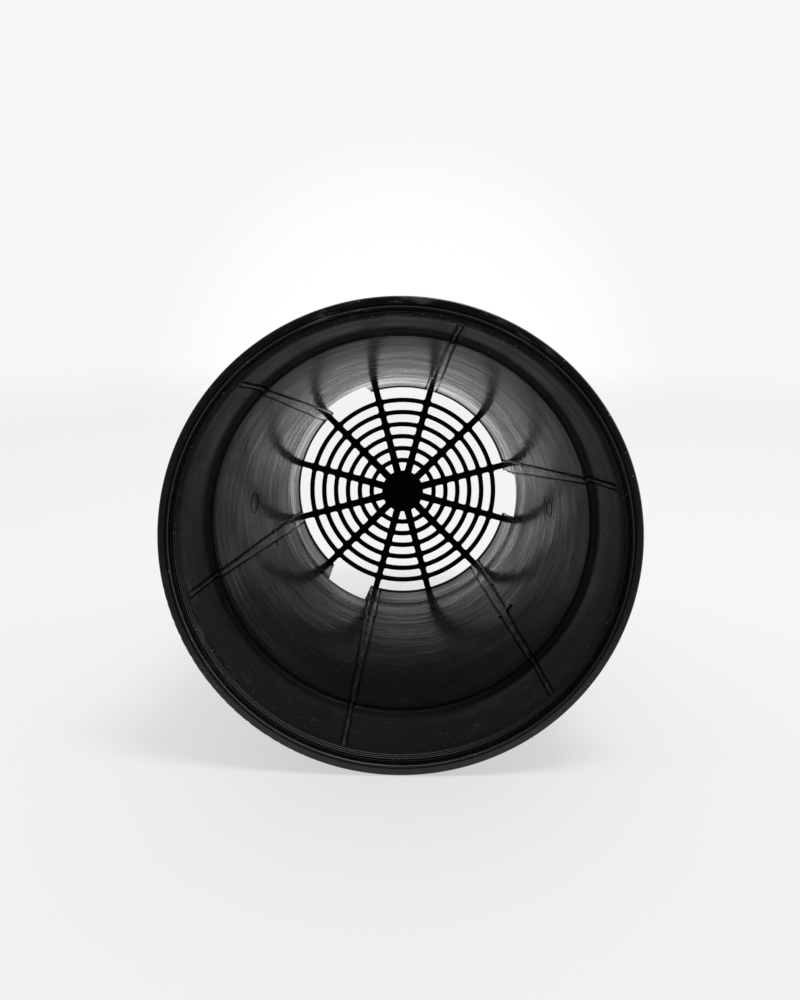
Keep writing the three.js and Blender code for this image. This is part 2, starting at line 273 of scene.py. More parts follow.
class PlasticNodes:
    """The nodes of one finish, which share its coordinates, its patterns and the masks of its marks."""

    def __init__(self, finish: Plastic) -> None:
        """Starts the material and adds what several inputs of its shader need.

        Args:
            finish: the finish to build.
        """
        self.finish = finish
        self.material = bpy.data.materials.new(finish.name)
        self.graph = graph = Graph(self.material)
        self.cylinder = Cylinder(graph)
        self.bands = graph.noise(self.cylinder.rings(across=420, around=6), detail=3, roughness=0.6)
        self.blotches = graph.noise(self.cylinder.place, scale=34, detail=3)
        self.scratch = graph.times(self.hairlines(), finish.scratches)
        self.dust = self.specks()
        self.below = self.by_height(finish.foot_level - NEAR / 2, finish.foot_level - NEAR)
        # painted shade in corners, grooves and folds, as a factor
        self.painted_shade_factor = self.painted_shade()

    def by_height(self, low: float, high: float, start: float = 0, end: float = 1) -> Socket:
        """A number that goes smoothly from start to end between two heights."""
        return self.graph.step(self.cylinder.height, low, high, start, end)

    def by_side(self, bearing: float) -> Socket:
        """A mask of the side of the pot that lies at a bearing."""
        turn = self.graph.minus(self.cylinder.bearing, bearing)
        return self.graph.step(self.graph.math("COSINE", turn), *self.finish.side_edge)

    def hairlines(self) -> Socket:
        """Fine scratches in several directions, each family only here and there.

        Returns:
            A mask, 1 in a scratch.
        """
        graph, total = self.graph, 0.0
        for family in HAIRLINES:
            value = graph.noise(self.cylinder.wound(family.twist, family.around, family.across), detail=1)
            line = graph.step(graph.math("ABSOLUTE", graph.minus(value, 0.5)), family.width, 0)
            patches = graph.noise(self.cylinder.wound(-family.twist, 55, 70), detail=2)
            total = graph.most(total, graph.times(line, graph.step(patches, 0.50, 0.62)))
        return total

    def specks(self) -> Socket:
        """Specks of dust, here and there.

        Returns:
            A mask, as strong in a speck as the finish is dusty.
        """
        graph, place = self.graph, self.cylinder.place
        inputs = {"Vector": place, "Scale": self.finish.speck_scale, "Randomness": 1.0}
        from_middle = graph.node("TexVoronoi", inputs).outputs["Distance"]
        speck = graph.step(from_middle, 0.16, 0.05)
        rare = graph.step(graph.noise(place, scale=210, detail=0), 0.59, 0.63)
        return graph.times(speck, rare, self.finish.dust)

    def painted_shade(self) -> Socket:
        """The factor of painted shade in corners, grooves and folds, which darkens the colour, the gloss
        and the sheen.

        Returns:
            A share, 1 where no shade is painted, lower where it is.
        """
        finish, graph = self.finish, self.graph
        # painted shade: darkest just above the foot level and gone by the full level, as in a corner; the
        # mesh's attribute adds painted shade in grooves and folds
        corner = self.by_height(finish.foot_level, finish.full_level, finish.foot_share, 1)
        return graph.times(graph.most(corner, self.below), graph.minus(1.0, graph.attribute("painted_recess_shade")))

    def scuffs_and_painted_reflection(self) -> Socket:
        """Where the surface is made lighter: rubbed in patches and on the ribs' tops, and a painted
        reflection in strokes near the mouth on one side.

        Returns:
            A mask, 1 where the surface is made lightest.
        """
        finish, graph, cylinder = self.finish, self.graph, self.cylinder
        scuff_and_reflection_noise = graph.noise(cylinder.wound(twist=4, around=70, across=260), detail=4, roughness=0.7)
        scuff_and_reflection_strokes = graph.step(scuff_and_reflection_noise, 0.52, 0.72)
        patches = graph.step(graph.noise(cylinder.place, scale=26, detail=2), 0.5, 0.68)
        # painted reflection: light strokes painted on one side near the mouth
        painted_reflection_side = graph.times(self.by_side(finish.painted_reflection_bearing), self.by_height(*finish.painted_reflection_levels))
        streaks = graph.step(graph.noise(cylinder.rings(across=90, around=1100), detail=3), 0.42, 0.60)
        return graph.most(
            graph.times(scuff_and_reflection_strokes, graph.most(patches, painted_reflection_side), finish.scuff_and_reflection_weight),
            graph.times(graph.attribute("crest"), streaks, finish.streaks),
        )

    def colour(self) -> Socket:
        """The black of the body, with its blotches, marks and dust, painted light above the shoulder, a
        painted reflection near the mouth on one side and painted shade in corners, grooves and folds.

        Returns:
            A grey.
        """
        finish, graph = self.finish, self.graph
        shade = graph.plus(
            graph.times(graph.step(self.blotches, 0.3, 0.7, start=0.8, end=1.25), finish.shade),
            graph.times(self.scratch, finish.scratch_lift),
            # scuffs, rubbed rib tops and a painted reflection near the mouth
            graph.times(self.scuffs_and_painted_reflection(), finish.scuff_and_reflection_lift),
        )
        shade = graph.blend(self.dust, shade, finish.dust_shade)
        # painted light: lighter just above the foot level, fading out by its top
        painted_light_mask = self.by_height(finish.painted_light_top, finish.foot_level, end=finish.painted_light)
        shade = graph.plus(shade, graph.times(painted_light_mask, graph.minus(1.0, self.below)))
        # painted shade: darker in corners, grooves and folds
        shade = graph.times(shade, graph.math("SQRT", self.painted_shade_factor))
        return graph.node("CombineColor", {0: shade, 1: shade, 2: shade}).outputs[0]

    def roughness(self) -> Socket:
        """The roughness of the body, which changes from band to band.

        Returns:
            A roughness, higher in scratches and under dust.
        """
        finish, graph = self.finish, self.graph
        bands = graph.step(self.bands, *finish.band_range, *finish.band_roughness)
        rough = graph.plus(bands, finish.roughness, graph.times(self.scratch, finish.scratch_roughness))
        return graph.blend(self.dust, rough, finish.dust_roughness)

    def polish(self) -> Socket:
        """How much of the mould's polish is left at each place.

        Returns:
            The weight of the gloss.
        """
        finish, graph, cylinder = self.finish, self.graph, self.cylinder
        polish = self.by_height(finish.base_level, finish.mouth_level, finish.polish, finish.worn)
        even = graph.times(self.by_side(finish.even_bearing), self.by_height(*finish.even_levels))
        polish = graph.blend(even, polish, finish.even_polish * finish.polish)
        from_joint = graph.math("ABSOLUTE", graph.minus(cylinder.height, finish.joint_level))
        strokes = graph.noise(cylinder.wound(twist=2, around=28, across=230), detail=4, roughness=0.65)
        return graph.times(
            polish,
            graph.step(from_joint, *finish.joint_reach, finish.joint_polish, 1.0),
            # painted shade also cuts the gloss in corners, grooves and folds
            self.painted_shade_factor,
            graph.step(strokes, 0.36, 0.64, start=0.7, end=1.35),
            graph.step(self.blotches, 0.35, 0.65, start=0.8, end=1.15),
            graph.minus(1.0, graph.most(self.scratch, self.dust)),
        )

    def relief(self) -> Socket:
        """The bump of the surface, from the tooling's marks and the scratches.

        Returns:
            A normal.
        """
        finish, graph, cylinder = self.finish, self.graph, self.cylinder
        if finish.grain is Grain.TURNED:
            coarse = graph.noise(cylinder.rings(across=700, around=4), detail=3, roughness=0.6)
            fine = graph.noise(cylinder.rings(across=2600, around=12), detail=2)
            turned = graph.noise(cylinder.rings(across=6000, around=30), detail=1)
            lean = graph.times(graph.minus(turned, 0.5), finish.tilt)
        else:
            lean = 0.0
            coarse = graph.noise(cylinder.place, scale=900, detail=3)
            fine = graph.noise(cylinder.place, scale=4000, detail=2)
        swell = graph.noise(cylinder.rings(across=45, around=70), detail=2)
        fine, swell = graph.times(fine, finish.fine_height), graph.times(swell, finish.swell_height)
        scratch = graph.times(self.scratch, finish.scratch_depth)
        height = graph.minus(graph.plus(coarse, fine, swell), scratch)
        level = graph.node("NewGeometry").outputs["Normal"]
        lean = graph.node("CombineXYZ", {2: lean}).outputs[0]
        leaning = graph.node("VectorMath", {0: level, 1: lean}, operation="ADD").outputs[0]
        inputs = {"Strength": 1.0, "Distance": finish.relief_depth, "Height": height, "Normal": leaning}
        return graph.node("Bump", inputs).outputs[0]

    def build(self) -> bpy.types.Material:
        """Joins everything in one shader.

        Returns:
            The finished material.
        """
        finish, graph = self.finish, self.graph
        low, high = (finish.polish_roughness + extra for extra in finish.band_gloss)
        gleam = graph.step(self.bands, *finish.band_range, low, high)
        normal = self.relief()
        shader = graph.node("BsdfPrincipled", {
            "Base Color": self.colour(), "Roughness": self.roughness(), "IOR": finish.ior,
            # painted shade also cuts the sheen in corners, grooves and folds
            "Specular IOR Level": graph.times(self.painted_shade_factor, finish.sheen), "Normal": normal,
            "Coat Weight": self.polish(), "Coat Roughness": gleam, "Coat IOR": finish.ior,
            "Coat Normal": normal,
        })
        graph.node("OutputMaterial", {"Surface": shader.outputs[0]})
        return self.material


FOOT_FINISH = Plastic("foot_polypropylene", Slot.WALL, Grain.TURNED, 0.008, scuff_and_reflection_weight=0.2)
WALL_FINISH = Plastic("wall_polypropylene", Slot.WALL, Grain.TURNED, 0.0085, polish=0.85, worn=0.14)
# the band is painted in shade at the shoulder's corner and painted lighter just above it
BAND_FINISH = Plastic(
    "band_polypropylene", Slot.BAND, Grain.TURNED, 0.012, sheen=0.02, polish=0.17, worn=0.03,
    polish_roughness=0.15, foot_level=111.4 * MM, full_level=112.3 * MM, foot_share=0.3, painted_light=0.022,
    base_level=113 * MM, mouth_level=133 * MM,
)
RIM_FINISH = Plastic(
    "rim_polypropylene", Slot.RIM, Grain.TURNED, 0.009, roughness=0.2, sheen=0.45, polish=0.0, worn=0.0,
    scuff_and_reflection_weight=0.9,
)
WEB_FINISH = Plastic(
    "web_polypropylene", Slot.WEB, Grain.SPARKED, 0.002, roughness=0.5, sheen=0.1, polish=0.0, worn=0.0,
    scratches=0.2, scuff_and_reflection_weight=0.0, dust=0.1, foot_share=1.0,
)


# Geometry


@dataclass(frozen=True)
class PotForm:
    """The sizes of the moulding, in metres. Its overall sizes come from the frame."""

    height: float
    rim_radius: float
    shoulder_bottom: float
    shoulder_top: float
    stacking_bottom: float
    insert_height: float
    notch_top: float
    web_top: float
    wall: float = 0.8 * MM
    base_radius: float = 51.1 * MM
    shoulder_height: float = 111.4 * MM
    shoulder_radius: float = 66.04 * MM
    upper_bottom_radius: float = 67.95 * MM
    upper_top_radius: float = 69.3 * MM
    ledge_radius: float = 70.65 * MM
    mouth_radius: float = 71.6 * MM
    mouth_draft: float = 0.1 * MM
    mouth_depth: float = 3 * MM

    @classmethod
    def from_frame(cls) -> "PotForm":
        """Reads the overall sizes and the levels from the frame's nodes.

        Returns:
            The sizes of this pot.
        """
        top = {name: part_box(name)[1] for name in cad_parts}
        return cls(
            height=top["rim_collar"].z,
            rim_radius=top["rim_collar"].x,
            shoulder_bottom=top["lower_wall"].z,
            shoulder_top=top["shoulder_ring"].z,
            stacking_bottom=top["upper_wall"].z,
            insert_height=top["base_band"].z,
            notch_top=top["foot_arc_1"].z,
            web_top=top["drain_grille"].z,
        )

    def lower_radius(self, height: float) -> float:
        """Inside radius of the tapered wall at a height."""
        share = (height - self.web_top) / (self.shoulder_height - self.web_top)
        return self.base_radius + share * (self.shoulder_radius - self.base_radius)

    def upper_radius(self, height: float) -> float:
        """Inside radius of the upper band at a height."""
        share = (height - self.shoulder_height) / (self.stacking_bottom - self.shoulder_height)
        return self.upper_bottom_radius + share * (self.upper_top_radius - self.upper_bottom_radius)

    def within(self, place: Vector) -> bool:
        """Whether a point of the wall lies on its inside."""
        radius_at = self.lower_radius if place.z < self.shoulder_height else self.upper_radius
        return radius_of(place) < radius_at(place.z) + self.wall / 2

    def mouth_at(self, height: float) -> float:
        """Inside radius of the mouth at a height."""
        return self.mouth_radius - self.mouth_draft * (self.height - height) / self.mouth_depth


def radius_of(place: Vector) -> float:
    """Distance of a place from the pot's axis."""
    return math.hypot(place.x, place.y)


def polar(radius: float, bearing: float, height: float) -> Vector:
    """The place at a radius, a bearing and a height."""
    return Vector((radius * math.cos(bearing), radius * math.sin(bearing), height))


def line_at(place: Vector, sectors: int, steps: int) -> tuple[int, int]:
    """The sector that a place lies in, and which of the sector's evenly spaced lines it is on."""
    return divmod(round(math.atan2(place.y, place.x) % TURN / TURN * sectors * steps), steps)


def arc(centre: Point, radius: float, start: float, end: float, steps: int = 6) -> list[Point]:
    """Points along part of a circle in a profile.

    Args:
        centre: its centre, as radius and height.
        radius: its radius.
        start: the angle of its first point, in turns.
        end: the angle of its last point, in turns.
        steps: how many chords it has.

    Returns:
        The points, as radius and height.
    """
    angles = [TURN * (start + (end - start) * i / steps) for i in range(steps + 1)]
    return [(centre[0] + radius * math.cos(a), centre[1] + radius * math.sin(a)) for a in angles]


def evenly(start: float, end: float, pitch: float) -> list[float]:
    """Numbers from start to end, as close to a pitch apart as fits."""
    steps = max(1, round(abs(end - start) / pitch))
    return [start + (end - start) * i / steps for i in range(steps + 1)]


def turn_about_axis(mesh: BMesh, profile: Sequence[Point], steps: int, closed: bool = True,
                    start: float = 0.0, share: float = 1.0) -> None:
    """Spins a profile about the pot's axis.

    Args:
        mesh: the mesh to add to.
        profile: its points, as radius and height.
        steps: how many steps the turn has.
        closed: whether the last point joins the first.
        start: where the turn starts, in turns.
        share: how far it goes, in turns.
    """
    first = Matrix.Rotation(TURN * start, 3, "Z")
    points = [mesh.verts.new(first @ Vector((radius, 0, height))) for radius, height in profile]
    pairs = zip(points, points[1:] + points[:1]) if closed else zip(points, points[1:])
    edges = [mesh.edges.new(pair) for pair in pairs]
    bmesh.ops.spin(mesh, geom=points + edges, cent=(0, 0, 0), axis=(0, 0, 1), dvec=(0, 0, 0),
                   angle=TURN * share, steps=steps, use_merge=share == 1, use_duplicate=False)


def slice_faces(mesh: BMesh, faces: list[BMFace], point: Vector, normal: Vector) -> None:
    """Cuts some faces of a mesh along a plane."""
    edges = list({edge for face in faces for edge in face.edges})
    bmesh.ops.bisect_plane(mesh, geom=faces + edges, dist=SNAP, plane_co=point, plane_no=normal)


def bevel(mesh: BMesh, geom: list[BMEdge] | list[BMVert], offset: float, segments: int = 2,
          affect: str = "EDGES") -> None:
    """Rounds edges, or the corners of faces."""
    bmesh.ops.bevel(mesh, geom=geom, offset=offset, offset_type="OFFSET", segments=segments, profile=0.5,
                    affect=affect, material=-1)


def mesh_data(name: str, mesh: BMesh) -> bpy.types.Mesh:
    """Turns a mesh in work into data.

    Args:
        name: the data's name.
        mesh: the mesh, which is freed.

    Returns:
        The new data.
    """
    data = bpy.data.meshes.new(name)
    mesh.to_mesh(data)
    mesh.free()
    return data


def placed(name: str, data: bpy.types.ID) -> bpy.types.Object:
    """Puts data into the scene.

    Args:
        name: the object's name.
        data: its mesh, camera or lamp.

    Returns:
        The new object, at the origin.
    """
    made = bpy.data.objects.new(name, data)
    bpy.context.scene.collection.objects.link(made)
    return made


def finished(name: str, mesh: BMesh) -> bpy.types.Object:
    """Turns a mesh in work into an object with smooth faces and sharp creases.

    Args:
        name: the object's name.
        mesh: the mesh, which is freed.

    Returns:
        The object, at the origin.
    """
    bmesh.ops.remove_doubles(mesh, verts=mesh.verts, dist=DOUBLE)
    bmesh.ops.recalc_face_normals(mesh, faces=mesh.faces)
    if mesh.calc_volume(signed=True) < 0:
        bmesh.ops.reverse_faces(mesh, faces=mesh.faces)
    for face in mesh.faces:
        face.smooth = True
    for edge in mesh.edges:
        edge.smooth = len(edge.link_faces) == 2 and edge.calc_face_angle(0) < CREASE
    return placed(name, mesh_data(name, mesh))


def dress(piece: bpy.types.Object, finish: Plastic, *nodes: str) -> None:
    """Gives a piece its finish, and puts it in the place of the frame's nodes.

    Args:
        piece: the new piece.
        finish: the plastic that it is made of.
        nodes: the nodes of the frame that it stands for.
    """
    piece.data.materials.append(PlasticNodes(finish).build())
    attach(piece, "root")
    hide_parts(*nodes)
    log.info("%s: %d faces, for %s", piece.name, len(piece.data.polygons), ", ".join(nodes))


@dataclass(frozen=True)
class Notches:
    """The drainage notches through the foot of the wall, a little wider at the foot than at the top."""

    top: float
    foot: float
    count: int = 3
    width: float = 19.6 * MM  # at the top
    draft: float = 0.8 * MM  # how much further out each side stands at the foot
    corner: float = 0.6 * MM

    def ways(self) -> list[tuple[Vector, Vector]]:
        """The directions outwards through each notch, and sideways along it."""
        turns = [Matrix.Rotation(TURN * index / self.count, 3, "Z") for index in range(self.count)]
        return [(turn @ Vector((1, 0, 0)), turn @ Vector((0, 1, 0))) for turn in turns]

    def half(self, height: float) -> float:
        """Half the width at a height."""
        return self.width / 2 + self.draft * (self.top - height) / (self.top - self.foot)

    def sides(self, aside: Vector) -> list[tuple[Vector, Vector]]:
        """A point and a direction for the plane of each side."""
        up = Vector((0, 0, self.draft / (self.top - self.foot)))
        return [(aside * side * self.half(0), aside * side + up) for side in (-1, 1)]

    def holds(self, place: Vector) -> bool:
        """Whether a place lies in a notch.

        Args:
            place: a place of the wall or the web.

        Returns:
            True in a notch.
        """
        half = self.half(place.z)
        inside = (place.dot(ahead) > 0 and abs(place.dot(aside)) < half for ahead, aside in self.ways())
        return place.z < self.top and any(inside)


@dataclass(frozen=True)
class FlowRibs:
    """Low strips up the inside of the wall, with a fine groove along each side."""

    count: int = 6
    first: float = math.radians(15)
    height: float = 0.38 * MM
    steps: int = 60  # lines of the wall's mesh in one sixth of a turn
    # Each line that follows a rib: how far outside its edge it runs, and how high it lies in rib heights
    flank: tuple[Point, ...] = (
        (0.80 * MM, 0.0), (0.55 * MM, -1.0), (0.20 * MM, -1.1),
        (0.02 * MM, 0.1), (-0.16 * MM, 0.9), (-0.42 * MM, 1.0),
    )
    # The ribs' widths: level of the wall, and width from edge to edge there
    widths: tuple[Point, ...] = (
        (2 * MM, 4.6 * MM), (36.7 * MM, 4.4 * MM), (37.3 * MM, 3.6 * MM), (60 * MM, 3.3 * MM),
        (90 * MM, 2.0 * MM), (110 * MM, 1.7 * MM), (113 * MM, 0.9 * MM), (141 * MM, 1.1 * MM),
    )

    def width(self, height: float) -> float:
        """Width of a rib.

        Args:
            height: the level of the wall.

        Returns:
            The width from edge to edge there.
        """
        pairs = list(zip(self.widths, self.widths[1:]))
        low, high = next((pair for pair in pairs if height <= pair[1][0]), pairs[-1])
        share = min(1.0, max(0.0, (height - low[0]) / (high[0] - low[0])))
        return low[1] + share * (high[1] - low[1])

    def offset(self, line: int, height: float) -> Point:
        """Where a line that follows a rib runs.

        Args:
            line: the line's number across the rib, from 0.
            height: the level of the wall.

        Returns:
            The line's distance from the middle of the rib, and how far it stands proud of the wall.
        """
        middle = len(self.flank)
        if line == middle:
            return 0.0, self.height
        side = -1 if line < middle else 1
        outside, rise = self.flank[line if line < middle else 2 * middle - line]
        return side * (self.width(height) / 2 + outside), rise * self.height

    def rise(self, point: Vector) -> float:
        """How far the wall stands proud at a point, from the lines that run beside it.

        Args:
            point: a point of the wall.

        Returns:
            The height above the wall's plain surface.
        """
        sector = TURN / self.count
        bearing = (math.atan2(point.y, point.x) - self.first + sector / 2) % sector - sector / 2
        across = abs(math.sin(bearing)) * radius_of(point)
        edge = self.width(point.z) / 2
        path = [(edge + outside, rise * self.height) for outside, rise in self.flank] + [(0.0, self.height)]
        for (far, low), (near, high) in zip(path, path[1:]):
            if near <= across <= far:
                return low + (high - low) * (far - across) / (far - near)
        return 0.0

    def mark_relief(self, mesh: BMesh, form: PotForm) -> None:
        """Writes how deep each point lies in a groove, for the finish's painted shade, and how high on a
        rib, for its rubbed tops.

        Args:
            mesh: the wall's mesh, with its ribs.
            form: the sizes of the moulding.
        """
        # painted shade in the grooves beside the ribs
        painted_recess_shade = mesh.verts.layers.float.new("painted_recess_shade")
        crest = mesh.verts.layers.float.new("crest")
        for vert in mesh.verts:
            share = self.rise(vert.co) / self.height if form.within(vert.co) else 0.0
            vert[painted_recess_shade] = min(1.0, max(0.0, -share))
            vert[crest] = min(1.0, max(0.0, share))

    def settle(self, point: Vector, proud: bool) -> Vector:
        """Moves a point of an evenly turned wall to its place beside or on a rib.

        Args:
            point: the point, on one of the evenly spaced lines.
            proud: whether the line may leave the wall's surface there.

        Returns:
            Its new place.
        """
        radius, sector = radius_of(point), TURN / self.count
        rib, line = line_at(point, self.count, self.steps)
        last = 2 * len(self.flank)
        across, rise = self.offset(min(line, last), point.z)
        angle = math.asin(across / radius)
        if line > last:
            rise = 0.0
            angle += (line - last) / (self.steps - last) * (sector - 2 * angle)
        return polar(radius - rise * proud, self.first + rib * sector + angle, point.z)


RIBS = FlowRibs()


@dataclass(frozen=True)
class RingMark:
    """Part of a round ridge that a pin of the mould left on the wall."""

    bearing: float
    level: float
    reach: float
    start: float = 0.0  # in turns, from the side towards higher bearings
    end: float = 1.0
    width: float = 0.8 * MM
    proud: float = 0.25 * MM
    steps: int = 60  # of a whole ring
    least_steps: int = 6

    def draw(self, mesh: BMesh) -> list[BMVert]:
        """Spins the ridge flat about the Z axis.

        Args:
            mesh: the mesh to add to.

        Returns:
            The new vertices.
        """
        old = set(mesh.verts)
        half, root = self.width / 2, -self.proud
        profile = [(-half, root), (-half / 2, self.proud), (half / 2, self.proud), (half, root)]
        ring = [(self.reach + across, up) for across, up in profile]
        share = self.end - self.start
        steps = max(self.least_steps, round(self.steps * share))
        turn_about_axis(mesh, ring, steps, start=self.start, share=share)
        made = [vert for vert in mesh.verts if vert not in old]
        ends = [edge for edge in mesh.edges if edge.is_boundary and edge.verts[0] in made]
        bmesh.ops.holes_fill(mesh, edges=ends, sides=len(profile))
        return made


@dataclass(frozen=True)
class BarMark:
    """A short raised bar on the wall."""

    bearing: float
    level: float
    length: float
    width: float = 0.9 * MM
    proud: float = 0.3 * MM
    lean: float = 0.0  # in turns, from level

    def draw(self, mesh: BMesh) -> list[BMVert]:
        """Makes the bar flat on the XY plane, with its edges taken off.

        Args:
            mesh: the mesh to add to.

        Returns:
            The new vertices.
        """
        old = set(mesh.verts)
        size = Matrix.Diagonal((self.length, self.width, 2 * self.proud, 1))
        turn = Matrix.Rotation(TURN * self.lean, 4, "Z")
        cube = bmesh.ops.create_cube(mesh, size=1, matrix=turn @ size)["verts"]
        bevel(mesh, list({edge for vert in cube for edge in vert.link_edges}), self.proud / 3)
        return [vert for vert in mesh.verts if vert not in old]


@dataclass(frozen=True)
class MouldMarks:
    """The low marks that pins and joints of the mould left on the inside of the tapered wall."""

    form: PotForm
    marks: tuple[RingMark | BarMark, ...] = (
        RingMark(1.0, 67.3 * MM, 3.3 * MM),
        RingMark(1.0, 67.3 * MM, 6.3 * MM, 0.58, 0.86, width=0.6 * MM, proud=0.16 * MM),
        RingMark(1.0, 67.3 * MM, 6.3 * MM, 0.10, 0.34, width=0.6 * MM, proud=0.16 * MM),
        RingMark(177.7, 67.5 * MM, 3.9 * MM),
        BarMark(177.7, 61.8 * MM, 2.6 * MM, width=0.8 * MM, lean=0.03),
        BarMark(312.9, 68.0 * MM, 1.6 * MM, proud=0.45 * MM),
        BarMark(317.9, 68.1 * MM, 3.9 * MM, width=1.0 * MM, proud=0.5 * MM),
        BarMark(192.4, 47.0 * MM, 1.6 * MM),
        BarMark(197.9, 47.4 * MM, 2.4 * MM, width=0.7 * MM),
        BarMark(157.0, 91.5 * MM, 4.5 * MM, width=0.4 * MM, proud=0.1 * MM, lean=-0.09),
        BarMark(153.4, 94.0 * MM, 3.0 * MM, width=0.4 * MM, proud=0.1 * MM, lean=-0.05),
    )

    def add_to(self, mesh: BMesh) -> None:
        """Draws each mark flat and wraps it on the wall.

        Args:
            mesh: the tapered wall's mesh.
        """
        for mark in self.marks:
            for vert in mark.draw(mesh):
                across, up, proud = vert.co
                radius = self.form.lower_radius(mark.level + up)
                bearing = math.radians(mark.bearing) + across / radius
                vert.co = polar(radius - proud, bearing, mark.level + up)


@dataclass(frozen=True)
class WallStretch:
    """A stretch of the wall with its flow ribs, between two levels."""

    form: PotForm
    name: str
    node: str
    finish: Plastic
    inner: list[Point]  # profile of the inside, from the bottom up
    outer: list[Point]  # profile of the outside, from the top down

    def build(self, marks: MouldMarks | None = None) -> None:
        """Turns the wall, raises its ribs and dresses it.

        Args:
            marks: the mould's marks on it, if it has any.
        """
        mesh = bmesh.new()
        turn_about_axis(mesh, self.inner + self.outer, RIBS.count * RIBS.steps)
        for vert in mesh.verts:
            spot = (radius_of(vert.co), vert.co.z)
            vert.co = RIBS.settle(vert.co, any(math.dist(spot, point) < SAME for point in self.inner))
        RIBS.mark_relief(mesh, self.form)
        if marks:
            marks.add_to(mesh)
        dress(finished(self.name, mesh), self.finish, self.node)


@dataclass(frozen=True)
class PotWall:
    """The wall of the pot, from the web of the base to the stacking ring."""

    form: PotForm
    notches: Notches
    pitch: float = 1.5 * MM  # of the mesh, inside
    outer_pitch: float = 9 * MM
    cut_up: float = 1.2  # how far up the faces are cut for a notch, in heights of the notch
    cut_aside: float = 1.3  # how far to each side, in half widths of the notch
    most_corners: int = 8  # of a face that isn't a notch
    cove: float = 1.2 * MM
    edge: float = 0.15 * MM  # of the shoulder
    insert_groove: float = 0.02 * MM  # the mark where the two parts of the mould's core meet
    groove_reach: float = 0.15 * MM
    top_flare: float = 0.10 * MM
    flare_reach: float = 0.9 * MM

    def tapered(self) -> tuple[list[Point], list[Point]]:
        """The tapered wall, with the upper half of the insert's groove at its foot.

        Returns:
            Its profiles, inside and outside.
        """
        form = self.form
        bottom, top = form.insert_height, form.shoulder_bottom
        inner = [(form.lower_radius(bottom) + self.insert_groove, bottom)]
        inner += [(form.lower_radius(z), z) for z in evenly(bottom + self.groove_reach, top, self.pitch)]
        outer = [(form.lower_radius(z) + form.wall, z) for z in evenly(top, bottom, self.outer_pitch)]
        return inner, outer

    def upper(self) -> tuple[list[Point], list[Point]]:
        """The upper band, which flares a little under the stacking ring.

        Returns:
            Its profiles, inside and outside.
        """
        form = self.form
        bottom, top = form.shoulder_top, form.stacking_bottom
        inner = [(form.upper_radius(z), z) for z in evenly(bottom, top - self.flare_reach, self.pitch)]
        inner.append((form.upper_radius(top) + self.top_flare, top))
        outer = [(form.upper_radius(z) + form.wall, z) for z in evenly(top, bottom, self.outer_pitch)]
        return inner, outer

    def shoulder(self) -> tuple[list[Point], list[Point]]:
        """The shoulder, which is a level step outwards with a cove above it.

        Returns:
            Its profiles, inside and outside.
        """
        form, level = self.form, self.form.shoulder_height
        centre = (form.upper_bottom_radius - self.cove, level + self.cove)
        under = level - form.wall
        lower = evenly(form.shoulder_bottom, level - self.edge, self.pitch)
        upper = evenly(centre[1] + self.cove / 2, form.shoulder_top, self.pitch)
        inner = [
            *[(form.lower_radius(z), z) for z in lower],
            (form.shoulder_radius, level),
            (form.shoulder_radius + self.edge, level),
            *arc(centre, self.cove, 0.75, 1),
            *[(form.upper_radius(z), z) for z in upper],
        ]
        outer = [
            (form.upper_radius(form.shoulder_top) + form.wall, form.shoulder_top),
            *arc(centre, self.cove + form.wall, 1, 0.75),
            (form.lower_radius(under) + form.wall, under),
            (form.lower_radius(form.shoulder_bottom) + form.wall, form.shoulder_bottom),
        ]
        return inner, outer

    def cut_notches(self, mesh: BMesh) -> None:
        """Cuts the drainage notches through a ring of wall.

        Args:
            mesh: the ring, as a single skin that goes right round.
        """
        notches, level = self.notches, self.notches.top
        for ahead, aside in notches.ways():
            for point, normal in notches.sides(aside) + [(Vector((0, 0, level)), Vector((0, 0, 1)))]:
                centres = {face: face.calc_center_median() for face in mesh.faces}
                near = [
                    face for face, centre in centres.items()
                    if centre.dot(ahead) > 0 and centre.z < self.cut_up * level
                    and abs(centre.dot(aside)) < self.cut_aside * notches.half(0)
                ]
                slice_faces(mesh, near, point, normal)
        cut = [face for face in mesh.faces if notches.holds(face.calc_center_median())]
        windows = bmesh.ops.dissolve_faces(mesh, faces=cut, use_verts=False)["region"]
        corners = [
            loop.vert for face in windows for loop in face.loops
            if loop.calc_angle() < CORNER and loop.vert.co.z > level / 2
        ]
        bevel(mesh, corners, notches.corner, affect="VERTICES")
        gone = [face for face in mesh.faces if len(face.verts) > self.most_corners]
        bmesh.ops.delete(mesh, geom=gone, context="FACES")

    def base_ring(self) -> BMesh:
        """The lowest ring of wall, with its notches and ribs.

        Returns:
            The mesh in work.
        """
        form = self.form
        top = form.insert_height
        levels = evenly(form.web_top, top - self.groove_reach, self.pitch) + [top]
        profile = [(form.lower_radius(z), z) for z in levels]
        mesh = bmesh.new()
        turn_about_axis(mesh, profile, RIBS.count * RIBS.steps, closed=False)
        bmesh.ops.recalc_face_normals(mesh, faces=mesh.faces)
        for vert in mesh.verts:
            vert.co = RIBS.settle(vert.co, False)
        self.cut_notches(mesh)
        bmesh.ops.solidify(mesh, geom=mesh.faces[:], thickness=-form.wall)
        for vert in mesh.verts:
            inside = radius_of(vert.co) < form.lower_radius(vert.co.z) + form.wall / 2
            for level in (form.web_top, self.notches.top, top):
                if abs(vert.co.z - level) < form.wall / 4:
                    vert.co.z = level
            if inside:
                rise = RIBS.rise(vert.co) - (self.insert_groove if vert.co.z == top else 0)
                vert.co.xy *= 1 - rise / radius_of(vert.co)
        RIBS.mark_relief(mesh, form)
        return mesh

